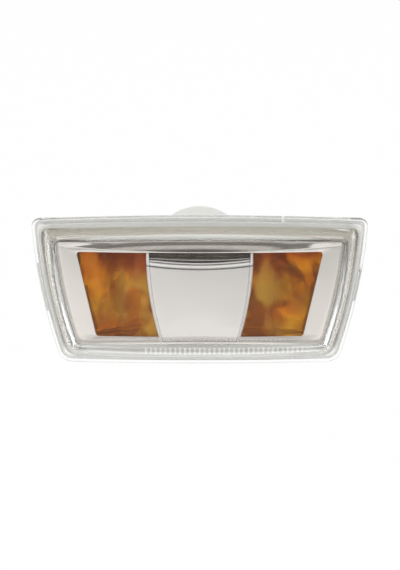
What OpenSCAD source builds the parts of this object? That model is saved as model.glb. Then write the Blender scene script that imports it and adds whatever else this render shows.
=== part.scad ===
// Side repeater lamp of a car. A clear lens closes a moulded housing that holds a bright bezel,
// a bulb shield, an amber inner lens, a bowl reflector and a wedge-base bulb in a twist-in holder.
// The lens faces -Y, +Z is up and +X is to the right seen from the front. The origin is the
// middle of the face with which the lamp bears on the wing. Lengths are in millimetres.

/* [Lens rim] */
// Width of the rim across its two top corners
rim_w_top = 110; // [106:1:116]
// Width of the rim across its two bottom corners
rim_w_bottom = 91; // [88:1:97]
// Height of the rim at mid width
rim_h = 50; // [49:1:56]
// Rise of the rim's top edge at mid width
rim_bow_top = 1.05; // [0:0.05:1.6]
// Drop of the rim's bottom edge at mid width
rim_bow_bottom = 0.7; // [0:0.05:1.4]
// Swell of each side of the rim at mid height
rim_bow_side = 1.6; // [0.6:0.1:2.4]
// Corner radius at the top of the rim
rim_r_top = 2.2; // [1:0.1:4]
// Corner radius at the bottom of the rim
rim_r_bottom = 4; // [2:0.1:6]
// Width of the flat ledge between the rim's edge and the dome
rim_ledge = 2; // [1.7:0.1:2.6]
// Thickness of the rim
rim_t = 2.2; // [1.8:0.1:3]

/* [Lens dome] */
// How far the dome stands proud of the rim at mid width
dome_rise = 7.3; // [6.5:0.1:9]
// Distance from the rim's edge in to the dome's front edge
dome_inset = 4.85; // [4.4:0.05:5.4]
// Radius of the front face and of all that follows it, about an upright axis
crown_r = 434; // [400:2:700]
// Radius of the dome's front edge
dome_edge_r = 1.4; // [0.8:0.1:2]
// Corner radius at the top of the dome
dome_r_top = 3.2; // [2.6:0.1:4.5]
// Corner radius at the bottom of the dome
dome_r_bottom = 5; // [4:0.1:6.5]
// Wall of the lens
lens_t = 2; // [1.6:0.1:2.4]
// Thickness of the tongue that enters the housing's groove
tongue_t = 0.9; // [0.7:0.05:1.1]
// Length of the tongue behind the rim
tongue_l = 2; // [1.5:0.1:2.5]

/* [Seals] */
// Thickness of the fitted foam gasket
gasket_t = 1.5; // [1:0.1:2.5]
// Width of the foam gasket
gasket_w = 1; // [0.8:0.1:1.1]
// Distance from the rim's edge in to the gasket
gasket_in = 1; // [0.6:0.1:1.1]
// Thickness of the sealing bead at the bottom of the groove
bead_t = 0.5; // [0.3:0.1:1]
// Thickness of the ring under the bulb holder's flange
ring_t = 1.4; // [1:0.1:2]
// Width of the ring under the bulb holder's flange
ring_w = 1.6; // [1.3:0.1:1.6]

/* [Bezel] */
// Distance from the rim's top edge down to the panel's top edge, at the corners
panel_margin_top = 8.7; // [8.2:0.1:8.8]
// Distance from the rim's bottom edge up to the panel's bottom edge, at the corners
panel_margin_bottom = 5.8; // [5.5:0.1:6.4]
// Distance from the rim's side in to the panel's side
panel_margin_side = 6; // [5.7:0.1:6.6]
// Dip of the panel's top edge at mid width
panel_dip_top = 1.65; // [1:0.05:1.7]
// Rise of the panel's bottom edge at mid width
panel_dip_bottom = 2; // [1.4:0.05:2.2]
// Swell of each side of the panel
panel_bow_side = 1; // [0.4:0.1:1.6]
// Curl of the shelves between the panel and the seating edge, 1 for flat shelves
shelf_curl = 2.5; // [1:0.1:3]
// Distance from the rim's side in to the window's top corner
window_side_top = 12.6; // [12:0.1:14]
// Distance from the rim's side in to the window's bottom corner
window_side_bottom = 13.4; // [12.6:0.1:14.6]
// Distance from the rim's top edge down to the window's top, at the corners
window_margin_top = 10.8; // [10.8:0.1:11.6]
// Distance from the rim's bottom edge up to the window's bottom, at the corners
window_margin_bottom = 9.1; // [8.8:0.1:9.6]
// Corner radius of the window
window_r = 0.9; // [0.5:0.1:1.5]
// Depth of the window's edge
window_d = 2.4; // [2:0.1:2.6]
// Thickness of the bezel's seating edge
bezel_edge_t = 1.2; // [1:0.1:1.6]

/* [Bulb shield] */
// Width of the shield at its top
shield_w_top = 34.9; // [32:0.1:38]
// Width of the shield at its bottom
shield_w_bottom = 25.6; // [24:0.1:28]
// Radius of the shield's front about an upright axis
shield_r = 150; // [120:2:220]
// Wall of the shield
shield_t = 1.1; // [0.8:0.1:1.3]
// How far the shield stands proud of the panel at mid width
shield_proud = 3; // [2.7:0.1:3.2]
// How far the sloping top runs back
shield_slope_d = 3.1; // [2.8:0.1:3.3]
// Angle of the sloping top against the upright
shield_slope_a = 45; // [40:1:50]
// Height of the bevel at the bottom
shield_bevel_h = 3.2; // [2.6:0.1:4]
// How far the bevel runs back
shield_bevel_d = 1.1; // [0.6:0.05:1.1]
// Radius of the shield's side edges
shield_edge_r = 0.9; // [0.5:0.05:1.1]

/* [Amber lens and reflector] */
// Thickness of the amber lens
amber_t = 1.4; // [1.1:0.1:1.7]
// How far the amber lens reaches past the window's edge
amber_lap = 0.9; // [0.7:0.1:1]
// Wall of the reflector
reflector_t = 1.5; // [1.2:0.1:1.8]
// Depth of the bowl at the bulb's axis, behind the reflector's front
bowl_d = 13.3; // [12.5:0.1:13.6]
// Focal length of the bowl
bowl_f = 34; // [32:0.5:40]
// Radius of the bulb's hole in the bowl
bulb_hole_r = 7; // [6:0.1:9]
// How far the reflector's inner walls lie outside the window's edge
reflector_out = 0.2; // [0.1:0.05:0.3]
// Width of the ear on each side of the reflector
ear_w = 8; // [6:0.5:12]
// Reach of an ear over the reflector's wall
ear_l = 4.6; // [4.2:0.1:5.4]
// Radius of the posts that carry the ears
post_r = 1.8; // [1.4:0.1:2.1]

/* [Housing] */
// Distance from the rim's edge in to the housing's front band
band_in = 2.2; // [2.1:0.05:2.4]
// Thickness of the groove's outer wall
groove_wall = 0.9; // [0.7:0.05:1]
// Thickness of the groove's inner wall
ledge_w = 1.2; // [1:0.05:1.5]
// Depth of the front band behind the wing's face
band_d = 3.2; // [2.8:0.1:4.5]
// Depth of the housing's back behind the wing's face
tub_d = 16; // [15:0.5:20]
// Wall of the housing
tub_t = 2; // [1.6:0.1:2.4]
// Draft of the housing's sides
tub_draft = 9; // [4:1:12]
// Radius of the housing's back edge
tub_edge_r = 2; // [1:0.1:3]
// Outer radius of the turret
turret_r = 16.4; // [15.6:0.1:17]
// Length of the turret behind the bulb holder's seat
turret_l = 12.5; // [9:0.5:16]
// Wall of the turret
turret_t = 2; // [1.6:0.1:2.2]
// Height of the bulb's axis over the rim's middle
bulb_z = 1.5; // [0.5:0.1:2]
// Thickness of the bayonet plate
plate_t = 2.5; // [2:0.1:3]
// Radius of the vent's foam plug
vent_r = 2.3; // [1.8:0.1:2.8]
// Depth of the vent's pocket
vent_d = 3.5; // [2.5:0.1:4.5]
// Distance of the vent from the middle, towards the nose
vent_x = 36; // [34:0.5:38]
// Thickness of the stiffening ribs
rib_t = 1.6; // [1.2:0.1:2]
// How far the ribs reach out from the turret
rib_l = 15; // [10:0.5:17]
// Height of the ribs at the turret
rib_h = 15; // [8:0.5:18]

/* [Fixings] */
// Width of the fixed nose and of its ramp
nose_w = 16; // [10:0.5:20]
// Length of the nose and its ramp
nose_l = 5; // [4:0.5:7]
// How far the nose and the clip reach past the front band
catch_reach = 1.6; // [1.2:0.1:1.8]
// Distance from the wing's face to the nose and to the clip's catch
catch_y = 2.2; // [2.1:0.1:2.6]
// Width of the spring clip
clip_w = 10; // [8:0.5:12]
// Thickness of the spring clip
clip_t = 0.5; // [0.4:0.05:0.6]

/* [Bulb holder] */
// Radius of the holder's barrel
barrel_r = 9.8; // [9.2:0.1:10.2]
// Length of the barrel in front of the seat
barrel_l = 8.5; // [8:0.1:9.5]
// Radius of the holder's flange
flange_r = 13.2; // [12.8:0.1:13.4]
// Thickness of the holder's flange
flange_t = 2.5; // [2:0.1:3.5]
// Reach of the bayonet lugs over the barrel
lug_reach = 1.4; // [1:0.1:1.5]
// Angle that a bayonet lug spans
lug_span = 34; // [24:1:44]
// Thickness of a bayonet lug
lug_t = 1.8; // [1.4:0.1:2.2]
// Width of the connector shroud, outside
shroud_w = 16; // [15:0.2:18]
// Height of the connector shroud, outside
shroud_h = 12.4; // [12:0.2:13.4]
// Length of the connector shroud behind the flange
shroud_l = 13; // [11:0.5:15]
// Wall of the connector shroud
shroud_t = 1.3; // [1:0.1:1.5]

/* [Bulb and contacts] */
// Length of the bulb
bulb_l = 26.8; // [25.5:0.1:28]
// Distance of the bulb's tip behind the reflector's front
bulb_d = 1.5; // [0.8:0.1:3]
// Distance of the bulb's foot in front of the holder's seat
foot_d = 1.5; // [0.5:0.1:2]
// Radius of the bulb's glass
bulb_r = 5.15; // [4.8:0.05:5.3]
// Thickness of the glass
glass_t = 0.6; // [0.5:0.05:0.8]
// Length of the bulb's flat base
base_l = 9.6; // [9:0.1:10]
// Width of the bulb's flat base
base_w = 9.5; // [8.6:0.1:9.7]
// Thickness of the bulb's flat base
base_t = 2.5; // [2.3:0.05:2.6]
// Radius of the bulb's lead wires
lead_r = 0.3; // [0.2:0.02:0.35]
// Distance between the lead wires in the base
lead_pitch = 5; // [4.4:0.1:5.4]
// Thickness of the contact strip
contact_t = 0.5; // [0.4:0.02:0.6]
// Width of the contact strip
contact_w = 2.8; // [2.6:0.1:3.2]
// Distance between the two connector blades
blade_pitch = 6; // [5.8:0.1:6.6]
// Length by which the shroud reaches past the blades
blade_back = 2; // [1:0.1:3]

/* [Clearances] */
// Clearance of pieces that bear on each other
seat_gap = 0.05; // [0.02:0.01:0.1]
// Clearance of the tongue in its groove and of the bezel in the lens
slip_gap = 0.15; // [0.1:0.01:0.2]
// Clearance of pieces that pass each other
air_gap = 0.4; // [0.3:0.05:0.5]

/* [Hidden] */
$fn = 72;

// Steps along the top and bottom edges (each half), round each corner and along each side
edge_steps = 7;
corner_steps = 5;
side_steps = 6;
// Facets of the large upright cylinders that the front pieces follow
crown_fn = 720;
// Longer than anything it cuts
past = 60;

// Depths, from the front to the back
y_rim_back = -gasket_t;
y_rim_front = y_rim_back - rim_t;
y_dome = y_rim_front - dome_rise;
y_dome_in = y_dome + lens_t;
y_shield = y_dome_in + 2*air_gap;
y_panel = y_shield + shield_proud;
y_amber = y_panel + window_d + seat_gap;
y_reflector = y_amber + amber_t + seat_gap;
y_ledge = y_rim_back + slip_gap;
y_tongue = y_rim_back + tongue_l;
y_groove = y_tongue + bead_t;
y_tub_in = tub_d - tub_t;
y_bulb_tip = y_reflector + bulb_d;
y_base = y_bulb_tip + bulb_l;
y_glass_end = y_base - base_l;
y_seat = y_base + foot_d;
y_plate = y_seat - plate_t;
y_turret = y_seat + turret_l;
y_barrel = y_seat - barrel_l;
y_flange = y_seat + ring_t;
y_flange_back = y_flange + flange_t;
y_shroud = y_flange_back + shroud_l;

// Outlines. An outline is a trapezoid with rounded corners and bowed edges, kept as
// [half width at z = 0, lean of its sides, top, bottom, top radius, bottom radius,
//  top bow, bottom bow, side bow].
rim_top = rim_h/2 - rim_bow_top;
rim_bottom = -rim_h/2 + rim_bow_bottom;
rim_lean = atan((rim_w_top - rim_w_bottom)/2/(rim_top - rim_bottom));
rim_half = rim_w_top/2 - rim_top*tan(rim_lean);
window_top = rim_top - window_margin_top;
window_bottom = rim_bottom + window_margin_bottom;
window_lean = atan(tan(rim_lean) + (window_side_bottom - window_side_top)/(window_top - window_bottom));
window_half = rim_half - window_side_top + window_top*(tan(rim_lean) - tan(window_lean));

function outline(half, lean, top, bottom, r_top, r_bottom, bows) =
    concat([half, lean, top, bottom, r_top, r_bottom], bows);

// An outline moved in by e on all sides, with corner radii of its own
function moved_in(o, e, r_top, r_bottom) =
    outline(o[0] - e/cos(o[1]), o[1], o[2] - e, o[3] + e, r_top, r_bottom, [o[6], o[7], o[8]]);

rim_outline = outline(rim_half, rim_lean, rim_top, rim_bottom, rim_r_top, rim_r_bottom,
    [rim_bow_top, rim_bow_bottom, rim_bow_side]);

// The rim's outline moved in by e, with the rim's corners
function rim(e) = moved_in(rim_outline, e, max(rim_r_top - e, 0.8), max(rim_r_bottom - e, 0.8));

// The rim's outline moved in by e, with the dome's corners
function dome(e) = moved_in(rim_outline, e,
    max(dome_r_top + rim_ledge - e, 1), max(dome_r_bottom + rim_ledge - e, 1));

// The panel's outline grown by e
function panel(e) = outline(rim_half - (panel_margin_side - e)/cos(rim_lean),
    (rim_lean + window_lean)/2, rim_top - panel_margin_top + e, rim_bottom + panel_margin_bottom - e,
    1, 1, [-panel_dip_top, -panel_dip_bottom, panel_bow_side]);

// The window's outline grown by e
function window(e) = outline(window_half + e/cos(window_lean), window_lean,
    window_top + e, window_bottom - e, max(window_r + e, 0.4), max(window_r + e, 0.4), [0, 0, 0]);

function arc(x, z, r, from, to, steps) =
    [for (i = [0:steps]) let (a = from + (to - from)*i/steps) [x + r*cos(a), z + r*sin(a)]];

function half_width(o, z) = o[0] + z*tan(o[1]);

function top_corner(o, steps) = let (z = o[2] - o[4])
    arc(half_width(o, z) - o[4]/cos(o[1]), z, o[4], 90, -o[1], steps);

function bottom_corner(o, steps) = let (z = o[3] + o[5])
    arc(half_width(o, z) - o[5]/cos(o[1]), z, o[5], -o[1], -90, steps);

// A point of the straight trapezoid moved out to the bowed edges
function bowed(o, p) =
    let (w = (2*p[1] - o[2] - o[3])/(o[2] - o[3]), u = p[0]/half_width(o, p[1]))
    [p[0] + o[8]*u*(1 - w*w), p[1] + (w > 0 ? o[6] : o[7])*w*(1 - u*u)];

function right_half(o) =
    let (t = top_corner(o, corner_steps), b = bottom_corner(o, corner_steps),
        t_end = t[corner_steps], b_end = b[corner_steps])
    concat(
        [for (i = [0:edge_steps - 1]) [t[0][0]*i/edge_steps, o[2]]],
        t,
        [for (i = [1:side_steps - 1]) t_end + (b[0] - t_end)*i/side_steps],
        b,
        [for (i = [1:edge_steps]) [b_end[0]*(1 - i/edge_steps), o[3]]]);

// The whole outline as [x, z] points, clockwise seen from the front, from the top middle
function ring(o) =
    let (half = [for (p = right_half(o)) bowed(o, p)], last = len(half) - 1)
    concat(half, [for (i = [last - 1:-1:1]) [-half[i][0], half[i][1]]]);

// A straight-sided outline with as few points as it needs
function lean_ring(o, steps) =
    let (half = concat(top_corner(o, steps), bottom_corner(o, steps)))
    concat(half, [for (i = [len(half) - 1:-1:0]) [-half[i][0], half[i][1]]]);

// How far a piece that follows the front face lies behind its foremost line at x
function crown(x) = crown_r - sqrt(crown_r*crown_r - x*x);

// An outline set flat at depth y, or bent to the front face's curve from depth y
function flat_at(o, y) = [for (p = ring(o)) [p[0], y, p[1]]];
function crowned(o, y) = [for (p = ring(o)) [p[0], y + crown(p[0]), p[1]]];

// Triangles that close an outline, in upright strips that follow the front face's curve
function outline_cap(n) =
    let (m = n/2)
    [for (i = [0:m/2 - 1]) each concat(
        i + 1 < m - i - 1 ? [[i, i + 1, m - i - 1]] : [],
        [[i, m - i - 1, m - i]],
        [[n - i - 1, (n - i) % n, m + i]],
        i + 1 < m - i - 1 ? [[n - i - 1, m + i, m + i + 1]] : [])];

// Triangles that close a loop whose second half runs back beside its first half
function channel_cap(n) =
    [for (i = [0:n/2 - 2]) each [[i, i + 1, n - 2 - i], [i, n - 2 - i, n - 1 - i]]];

// A closed surface through a list of rings. The cap closes the first and last ring, and without one
// the last ring joins the first, which makes a frame.
module skin(rings, cap = []) {
    n = len(rings[0]);
    m = len(rings);
    walls = [for (j = [0:(len(cap) > 0 ? m - 2 : m - 1)], i = [0:n - 1])
        let (a = j*n, b = ((j + 1) % m)*n, k = (i + 1) % n)
        each [[a + i, b + i, b + k], [a + i, b + k, a + k]]];
    ends = concat(cap, [for (f = cap) [for (k = [2, 1, 0]) f[k] + (m - 1)*n]]);
    polyhedron([for (r = rings) each r], concat(walls, ends), convexity = 12);
}

// An [x, z] outline extruded from depth y0 back to y1
module slab(points, y0, y1) {
    translate([0, y1, 0]) rotate([90, 0, 0]) linear_extrude(y1 - y0) polygon(points);
}

// Everything behind the front face's curve, started at depth y
module behind(y) {
    translate([0, y + crown_r, 0]) cylinder(r = crown_r, h = 2*past, center = true, $fn = crown_fn);
}

// A turned piece on the bulb's axis, from [radius, y] points, turned right round or over a span
module turned(points, span = 360, at = 0) {
    translate([0, 0, bulb_z]) rotate([-90, 0, 0]) rotate([0, 0, at - span/2])
        rotate_extrude(angle = span) polygon(points);
}

// The [radius, y] corners of a ring
function band(r0, r1, y0, y1) = [[r0, y0], [r1, y0], [r1, y1], [r0, y1]];

// A round rod along the bulb's axis, at x and z from it
module rod(r, y0, y1, x = 0, z = 0) {
    translate([x, y0, bulb_z + z]) rotate([-90, 0, 0]) cylinder(r = r, h = y1 - y0);
}

// A block of width w and height h along the bulb's axis
module block(w, h, y0, y1) {
    translate([-w/2, y0, bulb_z - h/2]) cube([w, y1 - y0, h]);
}

// The outline of a strip of thickness t bent along a path
function unit(v) = v/norm(v);
function across(a, b) = let (d = unit(b - a)) [-d[1], d[0]];
function mitre(path, i) =
    let (n = len(path) - 1, p = across(path[max(i - 1, 0)], path[max(i, 1)]),
        q = across(path[min(i, n - 1)], path[min(i + 1, n)]))
    (p + q)/(1 + p*q);
function strip(path, t) =
    let (n = len(path) - 1)
    concat([for (i = [0:n]) path[i] + mitre(path, i)*t/2],
        [for (i = [n:-1:0]) path[i] - mitre(path, i)*t/2]);

// Clear lens: front face, rounded edge, drafted wall, rim, tongue, and the same way back inside
lens_foot_r = 0.5;
lens_inner_r = 0.8;
inner_inset = dome_inset + 0.85*lens_t;
groove_in = band_in + groove_wall;
tongue_in = groove_in + slip_gap;
lens_inner_in = tongue_in + tongue_t;
groove_end = lens_inner_in + slip_gap;
outline_n = len(ring(rim_outline));

module outer_lens() {
    color([0.93, 0.95, 0.94, 0.45]) skin([
        for (a = [90:-22.5:0])
            crowned(dome(dome_inset + dome_edge_r*(1 - cos(a))), y_dome + dome_edge_r*(1 - sin(a))),
        flat_at(dome(rim_ledge + lens_foot_r/2), y_rim_front - lens_foot_r),
        flat_at(dome(rim_ledge), y_rim_front),
        flat_at(rim(rim_t/6), y_rim_front),
        flat_at(rim(0), y_rim_front + rim_t/6),
        flat_at(rim(0), y_rim_back - rim_t/8),
        flat_at(rim(rim_t/8), y_rim_back),
        flat_at(dome(tongue_in), y_rim_back),
        flat_at(dome(tongue_in), y_tongue),
        flat_at(dome(lens_inner_in), y_tongue),
        flat_at(dome(lens_inner_in), y_ledge - bezel_edge_t - slip_gap),
        for (a = [0:30:90])
            crowned(dome(inner_inset + lens_inner_r*(1 - cos(a))), y_dome_in + lens_inner_r*(1 - sin(a)))
    ], outline_cap(outline_n));
}

// Bezel: front panel, sloping shelves, seating edge, and the back of the same wall
panel_edge = 0.15;
bezel_flange_w = 1.9;
shelf_steps = 5;

module bezel() {
    y_back = y_ledge - seat_gap;
    inner = crowned(panel(0), y_panel + panel_edge);
    outer = flat_at(dome(groove_end + 0.4), y_back - bezel_edge_t);
    color([0.84, 0.83, 0.81]) skin([
        crowned(panel(-panel_edge), y_panel),
        for (j = [0:shelf_steps]) let (u = j/shelf_steps, v = 1 - pow(1 - u, shelf_curl))
            [for (i = [0:outline_n - 1]) let (d = outer[i] - inner[i]) inner[i] + [u*d[0], v*d[1], u*d[2]]],
        flat_at(dome(groove_end), y_back - bezel_edge_t + 0.1),
        flat_at(dome(groove_end), y_back),
        flat_at(dome(groove_end + bezel_flange_w), y_back),
        crowned(window(1), y_panel + window_d),
        crowned(window(0), y_panel + window_d),
        crowned(window(0), y_panel + panel_edge),
        crowned(window(panel_edge), y_panel)
    ]);
}

// Bulb shield: a channel whose front is part of an upright cylinder, cut by a sloping top and a
// bevel at the bottom. Its sides stand in the window and its foot laps over the window's border.
shield_top = window_top - slip_gap;
shield_bottom = rim_bottom + panel_margin_bottom + panel_dip_bottom;
shield_foot = window_bottom + slip_gap;
shield_back = y_amber - slip_gap;
shield_side_r = (pow(shield_top - shield_bottom, 2) + pow((shield_w_top - shield_w_bottom)/2, 2))
    /(shield_w_top - shield_w_bottom);
shield_blend = 1.1;

// The larger of two depths, blended where they meet
function blend(a, b) = let (h = max(1 - abs(a - b)/shield_blend, 0)) max(a, b) + shield_blend*h*h/4;

function shield_half(z) = shield_w_top/2 - shield_side_r
    + sqrt(pow(shield_side_r, 2) - pow(shield_top - z, 2));

function shield_face(x, z) =
    let (curve = shield_r - sqrt(shield_r*shield_r - x*x),
        slope = shield_slope_d - (shield_top - z)*tan(shield_slope_a),
        bevel = shield_bevel_d*(1 - (z - shield_bottom)/shield_bevel_h))
    y_shield + blend(blend(curve, slope), bevel);

// One side-to-side line of the shield at height z, w from the middle, with side edges of radius r
function shield_line(z, w, r, t) =
    let (half = concat([for (a = [0:30:90]) [w - r*(1 - cos(a)), r*(1 - sin(a))]],
        [for (i = [1:6]) [(w - r)*(1 - i/6), 0]]), last = len(half) - 1)
    [for (i = [0:2*last]) let (p = half[min(i, 2*last - i)], x = i > last ? -p[0] : p[0])
        [x, shield_face(x, z) + p[1] + t, z]];

// The shield cut level at height z: its outside from right to left, and its inside back again
function shield_ring(z) =
    let (w = shield_half(z), back = z > shield_foot ? shield_back : y_panel + crown(w) - seat_gap,
        deep = back - shield_face(w, z), r = min(shield_edge_r, deep*0.6),
        t = min(shield_t, deep*0.5), inside = shield_line(z, w - t, min(r, deep - t)*0.4, t))
    concat([[w, back, z]], shield_line(z, w, r, 0), [[-w, back, z], [-w + t, back, z]],
        [for (i = [len(inside) - 1:-1:0]) inside[i]], [[w - t, back, z]]);

module centre_shield() {
    z_slope = shield_top - shield_slope_d/tan(shield_slope_a);
    z_bevel = shield_bottom + shield_bevel_h;
    rings = [for (z = concat(
        [for (i = [0:9]) shield_top + (z_slope - 1.4 - shield_top)*i/9],
        [for (i = [1:5]) z_slope - 1.4 + (z_bevel + 2 - z_slope + 1.4)*i/5],
        [for (i = [1:6]) z_bevel + 2 + (shield_foot + 0.3 - z_bevel - 2)*i/6],
        [for (i = [0:3]) shield_foot + (shield_bottom - shield_foot)*i/3]))
        shield_ring(z)];
    color([0.80, 0.79, 0.77]) skin(rings, channel_cap(len(rings[0])));
}

// Amber lens: a plate bent like the front face, held between the bezel and the reflector
module amber_lens() {
    color([0.86, 0.45, 0.12, 0.8]) difference() {
        intersection() {
            slab(lean_ring(window(amber_lap), 3), y_amber - 1, y_reflector + past/4);
            behind(y_amber);
        }
        behind(y_amber + amber_t);
    }
}

// Reflector: a parabolic bowl in a trapezoid tunnel, with an ear on each side riveted to a housing post
y_bowl = y_reflector + bowl_d;
wall_out = reflector_out + reflector_t;
ear_x = half_width(window(wall_out), 0);
y_ear = y_reflector + crown(ear_x) + 0.3;
post_out = ear_l/2 + 0.2;
pin_r = post_r*0.6;

// Everything in front of the bowl whose deepest point is at depth y
module bowl(y) {
    r_end = sqrt(4*bowl_f*(y + past/2));
    turned(concat([[0, -past/2]],
        [for (i = [0:24]) let (r = r_end*(1 - i/24)) [r, y - r*r/(4*bowl_f)]]));
}

// The reflector's two side walls at half height, with x outwards and z along the wall
module at_ears() {
    for (side = [0, 1]) mirror([side, 0, 0]) translate([ear_x, 0, 0]) rotate([0, window_lean, 0]) children();
}

module reflector() {
    color([0.82, 0.81, 0.79]) difference() {
        union() {
            intersection() {
                slab(lean_ring(window(wall_out), 3), y_reflector - 1, y_bowl + past/4);
                behind(y_reflector);
                bowl(y_bowl + reflector_t);
            }
            at_ears() translate([-reflector_t/2, y_ear, -ear_w/2])
                cube([reflector_t/2 + ear_l, reflector_t, ear_w]);
        }
        intersection() {
            slab(lean_ring(window(reflector_out), 3), y_reflector - past/4, y_bowl + past/4);
            bowl(y_bowl);
        }
        rod(bulb_hole_r, y_reflector, y_bowl + 2*reflector_t);
        at_ears() translate([post_out, y_ear - 1, 0]) rotate([-90, 0, 0])
            cylinder(r = pin_r + seat_gap, h = reflector_t + 2);
    }
}

// Housing: front band with the groove, drafted tub, turret with the bayonet plate, ribs and fixings
step_in = 1.2;
y_step = band_d + 1.3;
y_band = y_rim_back + seat_gap;
turret_in = turret_r - turret_t;
plate_hole_r = barrel_r + air_gap;

function tub_in(y) = band_in + step_in + (y - y_step)*tan(tub_draft);

module tub() {
    skin([
        flat_at(dome(tub_in(y_tub_in) + tub_t + tub_edge_r/2), y_tub_in),
        flat_at(dome(tub_in(y_tub_in) + tub_t), y_tub_in - tub_edge_r/2),
        flat_at(dome(groove_end + ledge_w), y_step),
        flat_at(dome(groove_end + ledge_w), y_ledge),
        flat_at(dome(groove_end), y_ledge),
        flat_at(dome(groove_end), y_groove),
        flat_at(dome(groove_in), y_groove),
        flat_at(dome(groove_in), y_band),
        flat_at(dome(band_in), y_band),
        flat_at(dome(band_in), band_d),
        flat_at(dome(band_in + step_in), y_step),
        for (a = [0:30:90])
            flat_at(dome(tub_in(tub_d - tub_edge_r) + tub_edge_r*(1 - cos(a))),
                tub_d - tub_edge_r*(1 - sin(a)))
    ], outline_cap(outline_n));
}

// A frame on the side of the housing, x outwards from the front band and z along the band
module on_side(side) {
    mirror([side < 0 ? 1 : 0, 0, 0])
        translate([half_width(dome(band_in), 0) + rim_bow_side, 0, 0]) rotate([0, rim_lean, 0]) children();
}

// Place of the drafted wall's outside in that frame
function wall_x(y) = band_in - tub_in(y);

// Wedge that hooks behind the edge of the wing's cut-out
module nose() {
    y_end = catch_y + nose_l;
    on_side(-1) linear_extrude(nose_w, center = true) polygon([
        [-groove_wall, catch_y], [catch_reach, catch_y], [catch_reach, catch_y + 0.3*nose_l],
        [wall_x(y_end), y_end], [wall_x(y_end) - tub_t/2, y_end]]);
}

// Two rails with lips that hold the clip's inner leg
rail_t = 1.2;
lip_t = 0.7;
lip_w = 0.8;
lip_l = 3;
clip_y0 = y_step + 0.8;
clip_y1 = tub_d - 3;

module rails() {
    lip_x = clip_t + 3*seat_gap;
    y_lip = clip_y0 + 1;
    y_end = clip_y1 - 1;
    for (edge = [0, 1]) on_side(1) mirror([0, 0, edge]) translate([0, 0, clip_w/2 + seat_gap]) {
        linear_extrude(rail_t) polygon([
            [wall_x(clip_y0) - tub_t/2, clip_y0], [wall_x(clip_y0) + lip_x + lip_t, clip_y0],
            [wall_x(y_end) + lip_x + lip_t, y_end], [wall_x(y_end) - tub_t/2, y_end]]);
        translate([0, 0, -lip_w]) linear_extrude(lip_w + rail_t/2) polygon([
            for (p = [[0, 0], [lip_t, 0], [lip_t, lip_l], [0, lip_l]])
                [wall_x(y_lip + p[1]) + lip_x + p[0], y_lip + p[1]]]);
    }
}

module ribs() {
    for (angle = [0, 28, -28, 180, 152, 208])
        translate([0, 0, bulb_z]) rotate([0, angle, 0]) linear_extrude(rib_t, center = true) polygon([
            [turret_r - turret_t/2, tub_d - tub_t/2], [turret_r + rib_l, tub_d - tub_t/2],
            [turret_r + rib_l, tub_d], [turret_r, tub_d + rib_h], [turret_r - turret_t/2, tub_d + rib_h]]);
}

// Post with a riveted head that holds an ear of the reflector
rivet_t = 0.7;

module post() {
    y_top = y_ear + reflector_t + seat_gap;
    y_head = y_ear - seat_gap - rivet_t;
    translate([post_out, 0, 0]) rotate([-90, 0, 0]) {
        translate([0, 0, y_top]) cylinder(r = post_r, h = tub_d - tub_t/2 - y_top);
        translate([0, 0, y_head]) cylinder(r = pin_r, h = y_top + 1 - y_head);
        translate([0, 0, y_head]) cylinder(r = post_r, h = rivet_t);
    }
}

turret_edge = 0.8;
vent_wall = 1.1;

module housing() {
    color([0.86, 0.86, 0.84]) difference() {
        union() {
            tub();
            at_ears() post();
            nose();
            rails();
            ribs();
            rod(vent_r + vent_wall, tub_d - tub_t/2, tub_d + vent_d, -vent_x);
            turned(band(plate_hole_r, turret_in + turret_t/2, y_plate, y_seat));
            turned([[turret_in, tub_d - tub_t/2], [turret_r, tub_d - tub_t/2],
                [turret_r, y_turret - turret_edge], [turret_r - turret_edge, y_turret],
                [turret_in, y_turret]]);
        }
        rod(turret_in, y_tub_in - 1, y_plate);
        for (at = [0, 180])
            turned(band(plate_hole_r - 1, plate_hole_r + lug_reach, y_plate - 1, y_seat + 1),
                lug_span + 8, at + 65);
        rod(vent_r, tub_d, tub_d + vent_d + 1, -vent_x);
        rod(vent_r/3, y_tub_in - 1, tub_d + 1, -vent_x);
    }
}

// Sealing bead at the bottom of the groove, under the lens's tongue
module lens_seal() {
    color([0.18, 0.18, 0.18]) skin([
        flat_at(dome(groove_end - 0.05), y_tongue),
        flat_at(dome(groove_in + 0.05), y_tongue),
        flat_at(dome(groove_in + 0.05), y_groove),
        flat_at(dome(groove_end - 0.05), y_groove)
    ]);
}

// Foam gasket behind the lens's rim, which bears on the wing
module wing_gasket() {
    color([0.95, 0.95, 0.94]) difference() {
        slab(ring(rim(gasket_in)), -gasket_t, 0);
        slab(ring(rim(gasket_in + gasket_w)), -gasket_t - 1, 1);
    }
}

// Spring clip: a steel hairpin whose outer leaf snaps behind the edge of the wing's cut-out
hairpin_r = 0.9;
hook_reach = 1.1;
hook_l = 2.6;

module spring_clip() {
    offset_x = seat_gap + clip_t/2;
    leg = [[wall_x(clip_y0) + offset_x, clip_y0], [wall_x(clip_y1) + offset_x, clip_y1]];
    path = concat([leg[0]], arc(leg[1][0] + hairpin_r, clip_y1, hairpin_r, 172, 12, 8), [
        [catch_reach - clip_t/2, catch_y + hook_l],
        [catch_reach - hook_reach, catch_y]]);
    color([0.62, 0.63, 0.65]) on_side(1) linear_extrude(clip_w, center = true) polygon(strip(path, clip_t));
}

module vent_foam() {
    color([0.30, 0.30, 0.30]) rod(vent_r - seat_gap, tub_d + seat_gap, tub_d + vent_d - air_gap, -vent_x);
}

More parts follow.
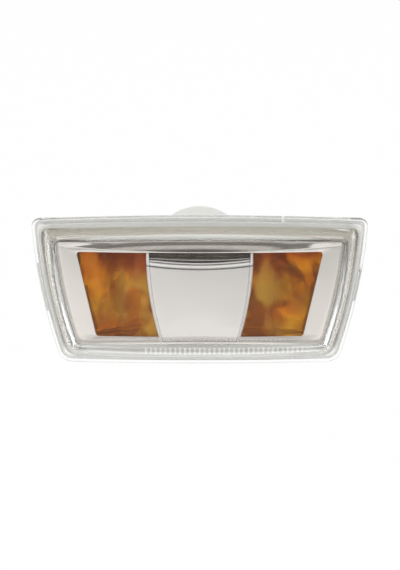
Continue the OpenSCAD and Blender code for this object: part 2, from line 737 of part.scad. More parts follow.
// Bulb holder: barrel with bayonet lugs, flange, finger wings and connector shroud
pocket_h = base_t + 4*lead_r + 2*contact_t + 2.2;
pocket_d = y_base - y_barrel;
y_web = y_base + 2*lead_r + 1;
spigot_r = flange_r - ring_w - seat_gap;
y_lug = y_plate - seat_gap;
barrel_edge = 0.6;
grip_t = 1.8;
latch_w = 4;
latch_l = 4;
latch_h = 1.2;

module at_contacts() {
    for (side = [-1, 1]) translate([side*blade_pitch/2, 0, 0]) children();
}

module bulb_holder() {
    color([0.24, 0.24, 0.25]) difference() {
        union() {
            turned([[0, y_barrel], [barrel_r - barrel_edge, y_barrel], [barrel_r, y_barrel + barrel_edge],
                [barrel_r, y_seat + 0.3], [spigot_r, y_seat + 0.3], [spigot_r, y_flange],
                [flange_r, y_flange], [flange_r, y_flange_back], [0, y_flange_back]]);
            for (at = [0, 180])
                turned(band(barrel_r - 1, barrel_r + lug_reach, y_lug - lug_t, y_lug), lug_span, at);
            block(2*flange_r - grip_t, grip_t, y_flange_back - 0.5, y_flange_back + shroud_l/2);
            block(shroud_w, shroud_h, y_flange_back - 0.5, y_shroud);
            translate([0, y_shroud - 2, bulb_z + shroud_h/2 - 0.1]) rotate([90, 0, 90])
                linear_extrude(latch_w, center = true)
                    polygon([[-latch_l, 0], [-latch_l, latch_h], [0, 0]]);
        }
        block(shroud_w - 2*shroud_t, shroud_h - 2*shroud_t, y_flange_back, y_shroud + 1);
        block(base_w + 2*slip_gap, base_t + 2*slip_gap, y_barrel - 1, y_base + seat_gap);
        at_contacts() {
            block(contact_w + 2*slip_gap, pocket_h, y_barrel - 1, y_web);
            block(contact_w + 2*seat_gap, contact_t + 2*seat_gap, y_web - 1, y_flange_back + 1);
        }
    }
}

module holder_seal() {
    color([0.12, 0.12, 0.12]) turned(band(flange_r - ring_w, flange_r, y_seat, y_flange));
}

// Wedge-base bulb: a round envelope drawn down to a pinched flat base
neck_l = 3;

module bulb_glass() {
    tip = y_bulb_tip + bulb_r;
    inner_r = bulb_r - glass_t;
    color([0.90, 0.92, 0.93, 0.5]) difference() {
        union() {
            turned(concat(
                [[0, y_glass_end + 1], [bulb_r*0.55, y_glass_end + 1], [bulb_r, y_glass_end - neck_l]],
                [for (a = [0:10:90]) [bulb_r*cos(a), tip - bulb_r*sin(a)]]));
            block(base_w, base_t, y_glass_end - 1, y_base);
        }
        turned(concat(
            [[0, y_glass_end - 1], [inner_r*0.5, y_glass_end - 1],
                [inner_r, y_glass_end - neck_l - glass_t]],
            [for (a = [0:10:90]) [inner_r*cos(a), tip - inner_r*sin(a)]]));
        for (side = [-1, 1]) rod(lead_r + seat_gap/2, y_glass_end - neck_l, y_base + 1, side*lead_pitch/2);
    }
}

// Lead wire: up the base to the filament, and folded back over a flat of the base
y_filament = y_bulb_tip + bulb_l/3;

module bulb_lead(side) {
    z_fold = side*(base_t/2 + lead_r);
    x = side*lead_pitch/2;
    color([0.75, 0.74, 0.72]) union() {
        rod(lead_r, y_filament, y_base + 2*lead_r, x);
        rod(lead_r, y_base - 0.65*pocket_d, y_base + 2*lead_r, x, z_fold);
        translate([x, y_base + 1.2*lead_r, bulb_z]) mirror([0, 0, side < 0 ? 1 : 0])
            cylinder(r = lead_r, h = abs(z_fold));
    }
}

module bulb_filament() {
    color([0.45, 0.44, 0.43]) translate([0, y_filament, bulb_z]) rotate([0, 0, 180])
        rotate_extrude(angle = 180) translate([lead_pitch/2, 0]) circle(r = 0.25, $fn = 24);
}

// Contact: a spring leaf on a flat of the base, bent into a blade in the shroud
module contact(side) {
    z_leaf = base_t/2 + 2*lead_r + seat_gap + contact_t/2;
    y_turn = y_web - seat_gap - contact_t/2;
    path = [[y_base - 0.8*pocket_d, z_leaf + 0.6], [y_base - pocket_d/2, z_leaf], [y_turn, z_leaf],
        [y_turn, 0], [y_shroud - blade_back, 0]];
    color([0.80, 0.66, 0.36]) translate([side*blade_pitch/2, 0, bulb_z]) mirror([0, 0, side < 0 ? 1 : 0])
        rotate([90, 0, 90]) linear_extrude(contact_w, center = true) polygon(strip(path, contact_t));
}

module bulb_lead_left() { bulb_lead(-1); }
module bulb_lead_right() { bulb_lead(1); }
module contact_left() { contact(-1); }
module contact_right() { contact(1); }

outer_lens();
bezel();
centre_shield();
amber_lens();
reflector();
housing();
lens_seal();
wing_gasket();
spring_clip();
vent_foam();
bulb_holder();
holder_seal();
bulb_glass();
bulb_filament();
bulb_lead_left();
bulb_lead_right();
contact_left();
contact_right();
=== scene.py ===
import math

import bmesh
import bpy
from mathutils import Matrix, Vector


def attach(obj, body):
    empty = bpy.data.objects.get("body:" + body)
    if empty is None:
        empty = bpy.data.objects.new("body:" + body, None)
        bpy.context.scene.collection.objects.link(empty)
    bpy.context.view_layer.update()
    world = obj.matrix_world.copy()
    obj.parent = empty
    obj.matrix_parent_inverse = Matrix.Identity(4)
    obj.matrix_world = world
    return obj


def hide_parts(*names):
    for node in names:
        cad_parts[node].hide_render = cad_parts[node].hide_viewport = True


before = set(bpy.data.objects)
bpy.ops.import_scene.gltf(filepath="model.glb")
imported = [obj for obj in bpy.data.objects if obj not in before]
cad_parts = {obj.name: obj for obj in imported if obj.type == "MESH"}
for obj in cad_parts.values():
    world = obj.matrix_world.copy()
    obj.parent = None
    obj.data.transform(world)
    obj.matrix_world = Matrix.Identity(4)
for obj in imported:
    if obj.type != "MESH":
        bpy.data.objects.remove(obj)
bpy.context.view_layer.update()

# Table, sky and lamps of a small white studio. The lamp unit hangs level, as if held by its wing
# face, and a pale table lies well below it. A black card hangs over it and a grey gap separates
# the wall from the ceiling light, and the bright pieces mirror both.
scene = bpy.context.scene
scene.view_settings.view_transform = "Standard"
scene.cycles.max_bounces = 24
scene.cycles.glossy_bounces = 12
scene.cycles.transmission_bounces = 20
scene.cycles.transparent_max_bounces = 16


class Value:
    """A number that varies over a surface. Sums, products and powers of it add Math nodes."""

    def __init__(self, finish, socket):
        self.finish = finish
        self.socket = socket

    def math(self, operation, *terms):
        """A Math node of these terms, in this order."""
        return self.finish.value("ShaderNodeMath", {"operation": operation}, dict(enumerate(terms)))

    def __add__(self, other):
        return self.math("ADD", self, other)

    def __sub__(self, other):
        return self.math("SUBTRACT", self, other)

    def __mul__(self, other):
        return self.math("MULTIPLY", self, other)

    def __truediv__(self, other):
        return self.math("DIVIDE", self, other)

    def __pow__(self, other):
        return self.math("POWER", self, other)

    def __radd__(self, other):
        return self.math("ADD", other, self)

    def __rsub__(self, other):
        return self.math("SUBTRACT", other, self)

    def __rmul__(self, other):
        return self.math("MULTIPLY", other, self)

    def __abs__(self):
        return self.math("ABSOLUTE", self)

    def __gt__(self, other):
        return self.math("GREATER_THAN", self, other)

    def fraction(self):
        return self.math("FRACT", self)

    def least(self, other):
        return self.math("MINIMUM", self, other)

    def smooth_least(self, other, width):
        return self.math("SMOOTH_MIN", self, other, width)

    def most(self, other):
        return self.math("MAXIMUM", self, other)

    def rises(self, start, full):
        """Goes smoothly from 0 at start to 1 at full."""
        return self.finish.value("ShaderNodeMapRange", {"interpolation_type": "SMOOTHSTEP"},
            {"Value": self, "From Min": start, "From Max": full})

    def falls(self, fading, gone):
        """Goes smoothly from 1 at fading to 0 at gone."""
        return 1 - self.rises(fading, gone)

    def within(self, start, full, fading, gone):
        """A band that is 0 up to start, 1 from full to fading, and 0 again past gone."""
        return self.rises(start, full) * self.falls(fading, gone)


class Finish:
    """A node tree for a material or for the world."""

    def __init__(self, owner):
        self.owner = owner
        owner.use_nodes = True
        self.tree = owner.node_tree
        self.tree.nodes.clear()

    def node(self, kind, settings=None, inputs=None):
        """Adds a node. Its settings are set first, then the values or links of its sockets."""
        made = self.tree.nodes.new(kind)
        for name, value in (settings or {}).items():
            if name == "stops":
                ramp = made.color_ramp
                while len(ramp.elements) < len(value):
                    ramp.elements.new(1.0)
                for element, (place, shade) in zip(ramp.elements, value):
                    element.position = place
                    element.color = (shade, shade, shade, 1.0)
            else:
                setattr(made, name, value)
        for name, value in (inputs or {}).items():
            if isinstance(value, Value):
                self.tree.links.new(value.socket, made.inputs[name])
            elif isinstance(value, bpy.types.NodeSocket):
                self.tree.links.new(value, made.inputs[name])
            else:
                made.inputs[name].default_value = value
        return made

    def value(self, kind, settings, inputs):
        """Adds a node and gives its first output as a number."""
        return Value(self, self.node(kind, settings, inputs).outputs[0])

    def axes(self, vector):
        """The three parts of a vector."""
        parts = self.node("ShaderNodeSeparateXYZ", None, {0: vector})
        return [Value(self, output) for output in parts.outputs]

    def path(self, *names):
        """The largest of what these outputs say of the ray's path, such as 1 for a ray of that kind."""
        path = self.node("ShaderNodeLightPath")
        total = Value(self, path.outputs[names[0]])
        for name in names[1:]:
            total = total.most(Value(self, path.outputs[name]))
        return total


# The table's image in the bright pieces darkens slightly with distance and towards the right
table_drop = 0.20
table_reach = 3.0
table_colour = (0.86, 0.86, 0.85, 1.0)
plain_white = 0.94
fall_start = 0.70
fall_slope = 1.4
fall_lean = 0.2
fall_range = (-0.1, 0.4)
table_finish = Finish(bpy.data.materials.new("pale_table"))
table_x, table_y, _ = table_finish.axes(table_finish.node("ShaderNodeTexCoord").outputs["Object"])
table_far = (table_x * table_x + table_y * table_y) ** 0.5
table_fall = (table_far - fall_start) * fall_slope + table_x * fall_lean
table_fall = table_fall.most(fall_range[0]).least(fall_range[1])
table_shade = 1 - table_fall * table_finish.path("Glossy Depth").least(1.0)
table_lit = table_finish.node("ShaderNodeBsdfDiffuse", None, {"Color": table_colour})
table_white = table_finish.node("ShaderNodeEmission", None, {"Color": table_shade, "Strength": 1.0})
table_mix = table_finish.node("ShaderNodeMixShader", None, {
    0: table_finish.path("Is Camera Ray", "Is Glossy Ray", "Is Transmission Ray") * plain_white,
    1: table_lit.outputs[0],
    2: table_white.outputs[0],
})
table_finish.node("ShaderNodeOutputMaterial", None, {"Surface": table_mix.outputs[0]})
table_mesh = bpy.data.meshes.new("table")
table_mesh.from_pydata(
    [(x * table_reach, y * table_reach, -table_drop) for x, y in ((-1, -1), (1, -1), (1, 1), (-1, 1))],
    [], [(0, 1, 2, 3)])
table = bpy.data.objects.new("table", table_mesh)
table.data.materials.append(table_finish.owner)
scene.collection.objects.link(table)

# The stops run from straight down at 0, past the horizon at 0.5, to straight up at 1. The walls with
# their ceiling light stand in front of the lamp unit, and the plain sky is round the rest. Only
# mirrored rays see them: one scattered bounce outweighs the mirrored ones and leaves plain white.
horizon_stops = [(0.0, 0.95), (0.49, 0.95), (0.503, 0.60), (0.53, 0.80), (0.57, 0.97)]
ceiling_stops = [
    (0.71, 0.97), (0.75, 0.20), (0.845, 0.20), (0.875, 0.85), (0.916, 0.85), (0.932, 0.05), (1.0, 0.05),
]
front_spread = 1.2
front_blend = 0.25
card_half_width = 0.55
card_half_length = 0.51
card_middle = 0.05
card_edge = (0.96, 1.04)
card_lowest = (0.2, 0.3)
card_black = 0.97
sky_strength = 1.1
scatter_weight = 9
sky = Finish(bpy.data.worlds.new("studio"))
sky_x, sky_y, sky_z = sky.axes(sky.node("ShaderNodeTexCoord").outputs["Generated"])
sky_height = sky_z * 0.5 + 0.5
sky_walls = sky.value("ShaderNodeValToRGB", {"stops": horizon_stops + ceiling_stops}, {0: sky_height})
sky_plain = sky.value("ShaderNodeValToRGB", {"stops": horizon_stops + [(1.0, 0.90)]}, {0: sky_height})
sky_front = (0 - sky_y - front_spread * abs(sky_x)).rises(0.0, front_blend)
card_across = sky_x / card_half_width
card_along = (sky_y - card_middle) / card_half_length
card = ((card_across * card_across + card_along * card_along) ** 0.5).falls(*card_edge)
card = card * sky_z.rises(*card_lowest)
sky_shade = (sky_walls * sky_front + sky_plain * (1 - sky_front)) * (1 - card_black * card)
sky_seen = sky.node("ShaderNodeBackground", None, {"Color": sky_shade, "Strength": sky_strength})
sky_white = sky.node("ShaderNodeBackground", None, {"Color": (1.0, 1.0, 1.0, 1.0), "Strength": 1.0})
sky_mirrored = sky.path("Glossy Depth") - scatter_weight * sky.path("Diffuse Depth")
sky_mix = sky.node("ShaderNodeMixShader", None,
    {0: sky_mirrored > 0.5, 1: sky_white.outputs[0], 2: sky_seen.outputs[0]})
sky.node("ShaderNodeOutputWorld", None, {"Surface": sky_mix.outputs[0]})
scene.world = sky.owner


def softbox(name, azimuth, elevation, distance, size, watts):
    """A square area lamp that faces the lamp unit from a direction given in degrees."""
    turn = math.radians(azimuth)
    rise = math.radians(elevation)
    direction = Vector((math.sin(turn) * math.cos(rise), -math.cos(turn) * math.cos(rise), math.sin(rise)))
    light = bpy.data.lights.new(name, "AREA")
    light.shape = "SQUARE"
    light.size = size
    light.energy = watts
    lamp = bpy.data.objects.new(name, light)
    lamp.location = direction * distance
    lamp.rotation_euler = direction.to_track_quat("Z", "Y").to_euler()
    scene.collection.objects.link(lamp)


softbox("front_softbox", azimuth=-62, elevation=38, distance=1.6, size=0.8, watts=2.6)
softbox("rear_softbox", azimuth=160, elevation=45, distance=1.6, size=0.8, watts=1.5)

# Camera: a metre away and 15 degrees above the lamp unit's axis. It looks at the lamp unit's middle
# with a long lens, whose picture is as high as the photograph's frame at that distance.
camera_rise = math.radians(15)
camera_distance = 1.0
view_height = 0.1873
view_centre = Vector((0.0001, 0.0, 0.0009))
camera_direction = Vector((0.0, -math.cos(camera_rise), math.sin(camera_rise)))
camera_data = bpy.data.cameras.new("camera")
camera_data.sensor_fit = "VERTICAL"
camera_data.angle_y = 2 * math.atan(view_height / 2 / camera_distance)
camera = bpy.data.objects.new("camera", camera_data)
camera.location = view_centre + camera_direction * camera_distance
camera.rotation_euler = camera_direction.to_track_quat("Z", "Y").to_euler()
scene.collection.objects.link(camera)
scene.camera = camera


# Outer lens: a dome of clear acrylic with a flat rim, injection moulded in one shot and glued into the
# housing's groove. Its drafted side walls are clouded, with painted shade making their bloom greenish grey
# beside its polished front and painted light making it paler and heavier on the lower wall, and a row of
# plain moulded ribs runs along the front's lower edge.
def smoothed(node, finish, angle=30):
    """A piece with the CAD node's shape, its round faces shaded smooth."""
    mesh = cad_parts[node].data.copy()
    mesh.name = node + "_skin"
    form = bmesh.new()
    form.from_mesh(mesh)
    bmesh.ops.remove_doubles(form, verts=form.verts, dist=2e-6)
    bmesh.ops.dissolve_degenerate(form, edges=form.edges, dist=1e-6)
    form.to_mesh(mesh)
    form.free()
    mesh.shade_smooth()
    mesh.set_sharp_from_angle(angle=math.radians(angle))
    mesh.materials.clear()
    mesh.materials.append(finish.owner)
    piece = bpy.data.objects.new(node + "_piece", mesh)
    flats = piece.modifiers.new("flats", "WEIGHTED_NORMAL")
    flats.keep_sharp = True
    scene.collection.objects.link(piece)
    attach(piece, "root")
    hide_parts(node)
    return piece


def place(finish):
    """The point of the surface in metres, in the lamp unit's frame."""
    return finish.node("ShaderNodeTexCoord").outputs["Object"]


def noise(finish, size, detail, stretch=(1.0, 1.0, 1.0)):
    """Smooth noise around 0.5 whose patches are about size metres wide, longer along a stretched axis."""
    scaled = finish.node("ShaderNodeVectorMath", {"operation": "MULTIPLY"},
        {0: place(finish), 1: tuple(1 / (size * s) for s in stretch)})
    return finish.value("ShaderNodeTexNoise", None,
        {"Vector": scaled.outputs[0], "Scale": 1.0, "Detail": detail})


def mixed(finish, share, first, second):
    """A colour between two, given as (red, green, blue) or as a socket."""
    first, second = [c if isinstance(c, bpy.types.NodeSocket) else (*c, 1.0) for c in (first, second)]
    return finish.node("ShaderNodeMix", {"data_type": "RGBA"}, {0: share, 6: first, 7: second}).outputs[2]


def relief(finish, height, depth):
    """The normal of a surface raised by height times depth, in metres."""
    return finish.node("ShaderNodeBump", None,
        {"Height": height, "Distance": depth, "Strength": 1.0}).outputs[0]


# The rim's outline: its corners' heights and half widths, how far each edge bows out between them,
# and how softly the sides run into the top and the bottom
rim_top = 0.02395
rim_bottom = -0.0243
rim_half_top = 0.0550
rim_half_bottom = 0.0455
rim_half_height = 0.0245
rim_bow_top = 0.00105
rim_bow_bottom = 0.0007
rim_bow_side = 0.0016
rim_round = 0.004
rim_lean = (rim_half_top - rim_half_bottom) / (rim_top - rim_bottom)
rim_half = rim_half_top - rim_top * rim_lean


def from_rim(finish):
    """Distance in metres from the rim's edge inwards, with rounded corners."""
    x, _, z = finish.axes(place(finish))
    side = rim_half + z * rim_lean + rim_bow_side * (1 - (z / rim_half_height) ** 2) - abs(x)
    top = rim_top + rim_bow_top * (1 - (x / rim_half_top) ** 2) - z
    bottom = rim_bow_bottom * (1 - (x / rim_half_bottom) ** 2) - rim_bottom + z
    return top.least(bottom).smooth_least(side / math.hypot(1, rim_lean), rim_round)


def clear(finish, tint, inputs, frost=None):
    """Ends a finish in clear plastic or glass. Lamplight goes through it and takes its tint.
    Frost is the share and the colour of a bloom on it."""
    body = finish.node("ShaderNodeBsdfPrincipled", None, {"Transmission Weight": 1.0, **inputs})
    if frost:
        share, colour = frost
        bloom = finish.node("ShaderNodeBsdfPrincipled", None, {"Base Color": colour, "Roughness": 0.6})
        body = finish.node("ShaderNodeMixShader", None,
            {0: share, 1: body.outputs[0], 2: bloom.outputs[0]})
    gap = finish.node("ShaderNodeBsdfTransparent", None, {"Color": (*tint, 1.0)})
    mix = finish.node("ShaderNodeMixShader", None,
        {0: finish.path("Is Shadow Ray"), 1: body.outputs[0], 2: gap.outputs[0]})
    finish.node("ShaderNodeOutputMaterial", None, {"Surface": mix.outputs[0]})


# Bands in metres: in from the rim's edge, by depth (y), or across (x) and up (z) the front. A rib's
# flank is given in shares of its wave.
foot_in = (0.0013, 0.0018, 0.0026, 0.0033)
foot_depth = (-0.0030, -0.0025)
wall_in = (0.0024, 0.0030, 0.0052, 0.0060)
wall_depth = (-0.0096, -0.0088, -0.0040, -0.0037)
low_wall_painted_light = (-0.0200, -0.0170)
edge_in = (0.0036, 0.0044, 0.0056, 0.0064)
edge_depth = (-0.0094, -0.0088)
front_depth = (-0.0095, -0.0090)
rib_pitch = 0.0016
rib_flank = (0.45, 0.75)
rib_row = (-0.0190, -0.0185, 0.0345, 0.0350)
rib_up = (-0.0200, -0.0196, -0.0177, -0.0173)
strip_up = (-0.0204, -0.0198, -0.0168, -0.0160)
gate_across = 0.0271
gate_half = (0.0003, 0.0006)
gate_up = (0.0226, 0.0234)
lens_finish = Finish(bpy.data.materials.new("clear_acrylic"))
lens_x, lens_y, lens_z = lens_finish.axes(place(lens_finish))
lens_in = from_rim(lens_finish)
lens_foot = lens_in.within(*foot_in) * lens_y.falls(*foot_depth)
lens_wall = lens_in.within(*wall_in) * lens_y.within(*wall_depth)
# Painted light: this mask makes the lower wall's bloom paler and heavier
lens_low_painted_light = lens_z.falls(*low_wall_painted_light)
lens_edge = lens_in.within(*edge_in) * lens_y.falls(*edge_depth)
lens_front = lens_y.falls(*front_depth)
rib_wave = abs((lens_x / rib_pitch).fraction() - 0.5) * 2
lens_ribs = rib_wave.rises(*rib_flank) * lens_x.within(*rib_row) * lens_z.within(*rib_up) * lens_front
lens_strip = lens_z.within(*strip_up) * lens_front
lens_gate = abs(lens_x - gate_across).falls(*gate_half) * lens_z.rises(*gate_up)
lens_sink = noise(lens_finish, 0.012, 1.0)
lens_haze = noise(lens_finish, 0.003, 3.0)
lens_streak = noise(lens_finish, 0.0008, 2.0, (16.0, 1.0, 1.0))
lens_bloom = lens_foot * 0.45 + lens_wall * (0.20 + 0.35 * lens_streak + 0.15 * lens_low_painted_light)
lens_bloom = lens_bloom + lens_edge * 0.4 + lens_ribs * 0.25 + lens_strip * 0.28
lens_bloom = lens_bloom.most(lens_gate * 0.6).least(0.9)
# Painted shade and light: the wall bloom is greenish grey on the upper walls and pale on the lower wall
wall_bloom_painted_shade_and_light = mixed(lens_finish, lens_low_painted_light, (0.55, 0.52, 0.44), (0.86, 0.85, 0.81))
clear(lens_finish, (0.99, 0.99, 0.985), {
    "Base Color": mixed(lens_finish, lens_wall, (0.995, 0.995, 0.99), (0.95, 0.945, 0.91)),
    "Roughness": 0.01 + 0.015 * lens_haze + 0.10 * lens_wall,
    "IOR": 1.49,
    "Specular Tint": (0.25, 0.25, 0.25, 1.0),
    "Normal": relief(lens_finish, lens_sink * 0.12 + lens_ribs * 0.4, 0.00012),
}, (lens_bloom, mixed(lens_finish, lens_wall, (0.96, 0.96, 0.94), wall_bloom_painted_shade_and_light)))
smoothed("outer_lens", lens_finish, angle=40)


# Bezel: a panel with curled shelves round it, moulded in plastic and metallised under vacuum on its
# front. The satin finish softens what it mirrors. Its outer edge stands on the housing's ledge,
# behind the lens's wall, and the coating thins out there to bare plastic.
def solid(finish, inputs):
    """Ends a finish in an opaque surface."""
    shader = finish.node("ShaderNodeBsdfPrincipled", None, inputs)
    finish.node("ShaderNodeOutputMaterial", None, {"Surface": shader.outputs[0]})


bare_in = (0.0062, 0.0067)
bare_low = (-0.0200, -0.0160)
bezel_finish = Finish(bpy.data.materials.new("satin_metallised"))
_, _, bezel_z = bezel_finish.axes(place(bezel_finish))
bezel_bare = from_rim(bezel_finish).falls(*bare_in)
bezel_cloud = noise(bezel_finish, 0.020, 2.0)
bezel_grain = noise(bezel_finish, 0.0006, 3.0)
bezel_plastic = mixed(bezel_finish, bezel_z.falls(*bare_low), (0.52, 0.51, 0.46), (0.84, 0.83, 0.79))
bezel_metal = mixed(bezel_finish, bezel_cloud, (0.735, 0.70, 0.66), (0.765, 0.73, 0.69))
solid(bezel_finish, {
    "Base Color": mixed(bezel_finish, bezel_bare, bezel_metal, bezel_plastic),
    "Metallic": 1 - bezel_bare,
    "Roughness": 0.07 + 0.06 * bezel_grain + 0.35 * bezel_bare,
    "Normal": relief(bezel_finish, bezel_grain * 0.1 + bezel_cloud, 0.00002),
})
smoothed("bezel", bezel_finish)

# Bulb shield: a channel that hides the bulb, metallised brighter than the bezel. Its sloping top
# mirrors the dark card overhead. Its round side edges and its crest carry a painted highlight, whitish
# and less metallic, with a painted dark reflection line beside them. Its sides stand in the window and
# its foot laps over.
shield_half = 0.01745
shield_top = 0.0130
shield_sweep = 0.0959
shield_slope = 0.0031
shield_round = 0.150
side_painted_highlight = (0.0008, 0.0010)
side_painted_reflection = (0.0012, 0.0014)
crest_painted_highlight = (-0.0010, -0.0008, -0.0003, -0.0001)
crest_painted_reflection = (-0.0018, -0.0016, -0.0013, -0.0011)
side_reflection_darkness = 0.35
crest_reflection_darkness = 0.85
shield_finish = Finish(bpy.data.materials.new("bright_shield"))
shield_x, _, shield_z = shield_finish.axes(place(shield_finish))
shield_side = shield_half - (shield_top - shield_z) ** 2 / (2 * shield_sweep) - abs(shield_x)
shield_over = shield_z - (shield_top - shield_slope) - shield_x * shield_x / (2 * shield_round)
shield_inner = shield_side.rises(*side_painted_highlight)
# Painted highlight on the round side edges and along the crest: whitish, rougher and less metallic
shield_painted_highlight = (1 - shield_inner).most(shield_over.within(*crest_painted_highlight))
# Painted reflection: a thin dark line beside the side edges and under the crest
shield_painted_reflection = shield_inner * shield_side.falls(*side_painted_reflection) * side_reflection_darkness
shield_painted_reflection = shield_painted_reflection.most(shield_over.within(*crest_painted_reflection) * crest_reflection_darkness)
shield_cloud = noise(shield_finish, 0.016, 2.0)
shield_grain = noise(shield_finish, 0.0005, 2.0)
shield_metal = mixed(shield_finish, shield_cloud, (0.695, 0.665, 0.64), (0.725, 0.695, 0.67))
shield_metal_and_painted_highlight = mixed(shield_finish, shield_painted_highlight, shield_metal, (0.96, 0.95, 0.93))
solid(shield_finish, {
    "Base Color": mixed(shield_finish, shield_painted_reflection, shield_metal_and_painted_highlight, (0.15, 0.15, 0.15)),
    "Metallic": 1 - 0.9 * shield_painted_highlight,
    "Roughness": 0.04 + 0.04 * shield_grain + 0.3 * shield_painted_highlight,
    "Normal": relief(shield_finish, shield_grain * 0.2 + shield_cloud, 0.00002),
})
smoothed("centre_shield", shield_finish)

# Amber lens: a bent plate of tinted plastic, clamped between the bezel and the reflector. It colours
# the light twice, on its way in and out. The dye varies at random, and painted shade darkens it and its
# bloom towards the inner top. It has a slight bloom towards the shield. Its back has a faint ripple from
# the mould.
painted_shade_up = (0.004, 0.013)
painted_shade_wander = 0.016
painted_shade_lean = 0.3
inner_half = (0.019, 0.029)
flow_patches = (0.40, 0.60)
dye_patches = (0.38, 0.62)
amber_finish = Finish(bpy.data.materials.new("amber_plastic"))
amber_x, _, amber_z = amber_finish.axes(place(amber_finish))
amber_cloud = noise(amber_finish, 0.008, 2.0)
amber_ripple = noise(amber_finish, 0.004, 1.0)
amber_flow = noise(amber_finish, 0.007, 1.5, (1.0, 1.0, 1.4)).rises(*flow_patches)
# Painted shade: the dye and its bloom turn dark red-brown towards the inner top
amber_painted_shade = (amber_z + painted_shade_wander * amber_cloud - painted_shade_lean * abs(amber_x)).rises(*painted_shade_up)
amber_dye = mixed(amber_finish, amber_cloud.rises(*dye_patches), (0.70, 0.34, 0.06), (0.92, 0.63, 0.07))
amber_cast = mixed(amber_finish, amber_flow, (0.88, 0.27, 0.02), (1.0, 0.55, 0.06))
amber_frost = 0.10 + abs(amber_x).falls(*inner_half) * (0.10 + 0.34 * amber_flow)
clear(amber_finish, (0.78, 0.47, 0.11), {
    "Base Color": mixed(amber_finish, amber_painted_shade, amber_dye, (0.64, 0.23, 0.04)),
    "Roughness": 0.02 + 0.03 * amber_ripple,
    "IOR": 1.49,
    "Specular Tint": (0.08, 0.08, 0.08, 1.0),
    "Normal": relief(amber_finish, amber_ripple, 0.00008),
}, (amber_frost, mixed(amber_finish, amber_painted_shade, amber_cast, (0.70, 0.15, 0.015))))
smoothed("amber_lens", amber_finish)

# Reflector: a bowl in a trapezoid tunnel with an ear on each side, metallised as bright as the shield.
# The bowl is slightly wavy, so it breaks up what it mirrors into patches. A painted highlight, whitish
# and not metallic, runs along its round edge where it meets the tunnel's floor.
bowl_depth = 0.0120
bowl_focus = 0.034
tunnel_floor = -0.0154
floor_highlight_band = (0.0003, 0.0006)
edge_highlight_band = (-0.0006, -0.0003)
bowl_finish = Finish(bpy.data.materials.new("bright_bowl"))
bowl_x, bowl_y, bowl_z = bowl_finish.axes(place(bowl_finish))
bowl_wave = noise(bowl_finish, 0.013, 0.6)
bowl_fine = noise(bowl_finish, 0.0030, 0.5)
bowl_front = bowl_depth - (bowl_x * bowl_x + bowl_z * bowl_z) / (4 * bowl_focus)
# Painted highlight: a whitish, non-metallic line along the bowl's edge at the tunnel's floor
bowl_painted_highlight = (bowl_y - bowl_front).rises(*edge_highlight_band) * (bowl_z - tunnel_floor).falls(*floor_highlight_band)
bowl_metal = mixed(bowl_finish, bowl_wave.rises(0.3, 0.7), (0.54, 0.49, 0.45), (0.96, 0.95, 0.93))
solid(bowl_finish, {
    "Base Color": mixed(bowl_finish, bowl_painted_highlight, bowl_metal, (0.97, 0.96, 0.94)),
    "Metallic": 1 - bowl_painted_highlight,
    "Roughness": 0.13 + 0.08 * bowl_fine + 0.3 * bowl_painted_highlight,
    "Normal": relief(bowl_finish, bowl_wave + bowl_fine * 0.05, 0.0050),
})
smoothed("reflector", bowl_finish)

# Housing: the tub, the turret with its bayonet plate, ribs, nose and rails, moulded together in pale
# grey plastic. Its skin has a fine spark-eroded grain, broad flow marks, and the round marks of
# four ejector pins on the back.
pin_across = 0.030
pin_up = 0.0125
pin_edge = (0.0022, 0.0025)
housing_finish = Finish(bpy.data.materials.new("pale_grey_plastic"))
housing_x, _, housing_z = housing_finish.axes(place(housing_finish))
from_pin_x = abs(housing_x) - pin_across
from_pin_z = abs(housing_z) - pin_up
housing_pins = ((from_pin_x * from_pin_x + from_pin_z * from_pin_z) ** 0.5).rises(*pin_edge)
housing_flow = noise(housing_finish, 0.012, 3.0, (1.0, 2.5, 1.0))
housing_grain = noise(housing_finish, 0.00045, 3.0)
solid(housing_finish, {
    "Base Color": mixed(housing_finish, housing_flow * 0.7 + housing_grain * 0.3,
        (0.605, 0.61, 0.575), (0.665, 0.665, 0.63)),
    "Subsurface Weight": 0.6,
    "Subsurface Radius": (1.0, 1.0, 0.9),
    "Subsurface Scale": 0.004,
    "Roughness": 0.38 + 0.16 * housing_grain,
    "Normal": relief(housing_finish, housing_grain * 0.5 + housing_pins, 0.00004),
})
smoothed("housing", housing_finish)


# Lens seal and holder seal: a bead of black rubber at the bottom of the groove, and a moulded ring
# under the bulb holder's flange. Both are matt with a faint grey bloom.
def rubber(name):
    finish = Finish(bpy.data.materials.new(name))
    bloom = noise(finish, 0.003, 3.0)
    skin = noise(finish, 0.0004, 2.0)
    solid(finish, {
        "Base Color": mixed(finish, bloom.rises(0.45, 0.8), (0.022, 0.022, 0.023), (0.055, 0.055, 0.056)),
        "Roughness": 0.62 + 0.2 * skin,
        "Normal": relief(finish, skin, 0.00003),
    })
    return finish


smoothed("lens_seal", rubber("bead_rubber"))
smoothed("holder_seal", rubber("ring_rubber"))


# Wing gasket: a die-cut ring of white closed-cell foam stuck to the back of the rim, pressed a little
# thinner than it was cut. The vent's plug is of grey open-cell foam, which keeps water out and lets
# air through.
def foam(name, cell, pale, dark, depth):
    finish = Finish(bpy.data.materials.new(name))
    scaled = finish.node("ShaderNodeVectorMath", {"operation": "SCALE"},
        {0: place(finish), "Scale": 1 / cell})
    cells = finish.value("ShaderNodeTexVoronoi", None, {"Vector": scaled.outputs[0], "Scale": 1.0})
    solid(finish, {
        "Base Color": mixed(finish, cells.rises(0.25, 0.75), dark, pale),
        "Roughness": 0.85 + 0.12 * cells,
        "Normal": relief(finish, cells, depth),
    })
    return finish


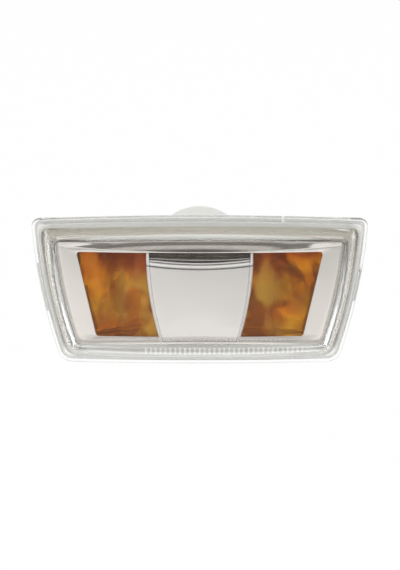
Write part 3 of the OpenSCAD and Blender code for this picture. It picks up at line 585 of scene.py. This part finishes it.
gasket_pressed = 0.97
gasket_foam = foam("white_foam", 0.0005, (0.95, 0.95, 0.935), (0.86, 0.86, 0.845), 0.00004)
gasket = smoothed("wing_gasket", gasket_foam)
for vertex in gasket.data.vertices:
    vertex.co.y *= gasket_pressed
vent_plug = foam("grey_foam", 0.0007, (0.17, 0.17, 0.17), (0.05, 0.05, 0.05), 0.0004)
smoothed("vent_foam", vent_plug)

# Spring clip: a hairpin of rolled spring steel. The rolling left fine lines along the strip, and the
# heat treatment a faint straw tint in places.
clip_finish = Finish(bpy.data.materials.new("rolled_spring_steel"))
clip_lines = noise(clip_finish, 0.00025, 3.0, (1.0, 24.0, 1.0))
clip_tint = noise(clip_finish, 0.004, 2.0).rises(0.4, 0.7)
solid(clip_finish, {
    "Base Color": mixed(clip_finish, clip_tint, (0.47, 0.48, 0.50), (0.56, 0.53, 0.47)),
    "Metallic": 1.0,
    "Roughness": 0.22 + 0.22 * clip_lines,
    "Normal": relief(clip_finish, clip_lines, 0.000015),
})
smoothed("spring_clip", clip_finish)

# Bulb holder: barrel, flange, finger grips and connector shroud in one black plastic moulding, which
# turns into the turret's bayonet plate. The glass filler gives it a satin skin with paler flow lines.
holder_finish = Finish(bpy.data.materials.new("black_satin_plastic"))
holder_flow = noise(holder_finish, 0.005, 4.0, (1.0, 3.0, 1.0)).rises(0.45, 0.75)
holder_grain = noise(holder_finish, 0.0004, 3.0)
solid(holder_finish, {
    "Base Color": mixed(holder_finish, holder_flow, (0.030, 0.030, 0.033), (0.060, 0.060, 0.063)),
    "Roughness": 0.34 + 0.2 * holder_grain,
    "Normal": relief(holder_finish, holder_grain, 0.00003),
})
smoothed("bulb_holder", holder_finish)

# Bulb: a wedge-base bulb of clear blown glass with its base pinched flat round two lead wires. The
# wires carry a tungsten filament. Its arch is plain, and fine relief stands for the coiled wire.
glass_tint = (0.985, 0.99, 0.99)
glass_finish = Finish(bpy.data.materials.new("blown_glass"))
glass_draw = noise(glass_finish, 0.0012, 1.0, (1.0, 9.0, 1.0))
clear(glass_finish, glass_tint, {
    "Base Color": (*glass_tint, 1.0),
    "Roughness": 0.02 * glass_draw,
    "IOR": 1.5,
    "Specular Tint": (0.6, 0.6, 0.6, 1.0),
    "Normal": relief(glass_finish, glass_draw, 0.00002),
})
smoothed("bulb_glass", glass_finish)

wire_finish = Finish(bpy.data.materials.new("tungsten_wire"))
wire_heat = noise(wire_finish, 0.0006, 2.0)
wire_turns = noise(wire_finish, 0.0001, 1.0, (1.0, 6.0, 6.0))
solid(wire_finish, {
    "Base Color": mixed(wire_finish, wire_heat, (0.20, 0.20, 0.22), (0.32, 0.31, 0.30)),
    "Metallic": 1.0,
    "Roughness": 0.3 + 0.2 * wire_heat,
    "Normal": relief(wire_finish, wire_turns, 0.00004),
})
smoothed("bulb_filament", wire_finish)


# Contacts and lead wires: nickel-plated wires, and two brass strips stamped and bent, one end
# springing on the bulb's base and the other a blade in the connector. Both show drawing lines.
def drawn_metal(name, bright, dull, grain):
    finish = Finish(bpy.data.materials.new(name))
    lines = noise(finish, grain, 3.0, (1.0, 20.0, 1.0))
    tarnish = noise(finish, 0.0025, 3.0)
    solid(finish, {
        "Base Color": mixed(finish, tarnish.rises(0.4, 0.75), bright, dull),
        "Metallic": 1.0,
        "Roughness": 0.18 + 0.25 * lines,
        "Normal": relief(finish, lines, 0.000012),
    })
    return finish


for side in ("left", "right"):
    lead_metal = drawn_metal("plated_wire_" + side, (0.62, 0.60, 0.57), (0.50, 0.48, 0.44), 0.0002)
    smoothed("bulb_lead_" + side, lead_metal)
    contact_metal = drawn_metal("stamped_brass_" + side, (0.78, 0.60, 0.29), (0.62, 0.44, 0.20), 0.0003)
    smoothed("contact_" + side, contact_metal)
